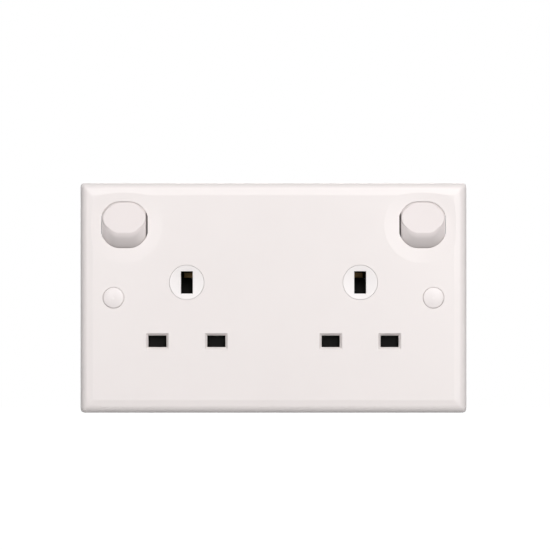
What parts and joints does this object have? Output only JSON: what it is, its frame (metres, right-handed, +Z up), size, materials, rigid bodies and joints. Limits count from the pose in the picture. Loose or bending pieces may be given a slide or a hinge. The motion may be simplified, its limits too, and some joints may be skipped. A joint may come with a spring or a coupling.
{
  "type": "twin switched socket outlet",
  "caption": "Flush white wall plate with flat-pin shuttered mains outlets side by side, tilting rocker switches, capped fixing screws and a dark rear base with screw terminals.",
  "frame": {"origin": "centre of the fixing hole pattern, on the wall plane that the plate's rear rim rests on", "axes": "+X to the right as seen from the room, +Y into the wall, +Z up; the face looks along -Y"},
  "size_m": [0.146, 0.0308, 0.087],
  "materials": {
    "plate_white": "satin gloss moulded",
    "cap_white": "satin gloss moulded",
    "rocker_white": "satin gloss moulded",
    "insert_white": "satin gloss moulded",
    "shutter_black": "matt moulded",
    "plunger_nylon": "natural nylon",
    "spring_steel": "drawn wire",
    "contact_brass": "rolled strip",
    "cage_brass": "extruded",
    "screw_steel": "passivated",
    "base_grey": "matt thermoset"
  },
  "bodies": {
    "frame": {"faceplate": "plate_white", "shutter_carrier_left": "insert_white", "shutter_carrier_right": "insert_white", "shutter_spring_left": "spring_steel", "shutter_spring_right": "spring_steel", "live_contact_left": "contact_brass", "live_contact_right": "contact_brass", "line_bar": "contact_brass", "neutral_bar": "contact_brass", "earth_bar": "contact_brass", "terminal_cage_line": "cage_brass", "terminal_cage_neutral": "cage_brass", "terminal_cage_earth_left": "cage_brass", "terminal_cage_earth_right": "cage_brass", "terminal_screws": "screw_steel", "holding_screws": "screw_steel", "rear_base": "base_grey"},
    "rocker_left": {"rocker_left": "rocker_white", "plunger_left": "plunger_nylon", "plunger_spring_left": "spring_steel"},
    "blade_left": {"switch_blade_left": "contact_brass"},
    "shutter_left": {"shutter_left": "shutter_black"},
    "cap_left": {"screw_cap_left": "cap_white"},
    "rocker_right": {"rocker_right": "rocker_white", "plunger_right": "plunger_nylon", "plunger_spring_right": "spring_steel"},
    "blade_right": {"switch_blade_right": "contact_brass"},
    "shutter_right": {"shutter_right": "shutter_black"},
    "cap_right": {"screw_cap_right": "cap_white"}
  },
  "joints": [
    {"name": "rocker_left_tilt", "type": "hinge", "parent": "frame", "child": "rocker_left", "pos_m": [-0.0562, 0, 0.0275], "axis": [1, 0, 0], "range_deg": [0, 28.4]},
    {"name": "blade_left_tilt", "type": "hinge", "parent": "frame", "child": "blade_left", "pos_m": [-0.0562, 0.0097, 0.0275], "axis": [1, 0, 0], "range_deg": [-14, 0]},
    {"name": "shutter_left_slide", "type": "slide", "parent": "frame", "child": "shutter_left", "axis": [0, 0, -1], "range_m": [0, 0.006], "stiffness_N_per_m": 150, "springref_m": -0.003, "deforming": ["shutter_spring_left"]},
    {"name": "cap_left_pull", "type": "slide", "parent": "frame", "child": "cap_left", "axis": [0, -1, 0], "range_m": [0, 0.012]},
    {"name": "rocker_right_tilt", "type": "hinge", "parent": "frame", "child": "rocker_right", "pos_m": [0.0562, 0, 0.0275], "axis": [1, 0, 0], "range_deg": [0, 28.4]},
    {"name": "blade_right_tilt", "type": "hinge", "parent": "frame", "child": "blade_right", "pos_m": [0.0562, 0.0097, 0.0275], "axis": [1, 0, 0], "range_deg": [-14, 0]},
    {"name": "shutter_right_slide", "type": "slide", "parent": "frame", "child": "shutter_right", "axis": [0, 0, -1], "range_m": [0, 0.006], "stiffness_N_per_m": 150, "springref_m": -0.003, "deforming": ["shutter_spring_right"]},
    {"name": "cap_right_pull", "type": "slide", "parent": "frame", "child": "cap_right", "axis": [0, -1, 0], "range_m": [0, 0.012]}
  ],
  "couplings": [
    {"joint": "blade_left_tilt", "follows": "rocker_left_tilt", "ratio": -0.493},
    {"joint": "blade_right_tilt", "follows": "rocker_right_tilt", "ratio": -0.493}
  ]
}
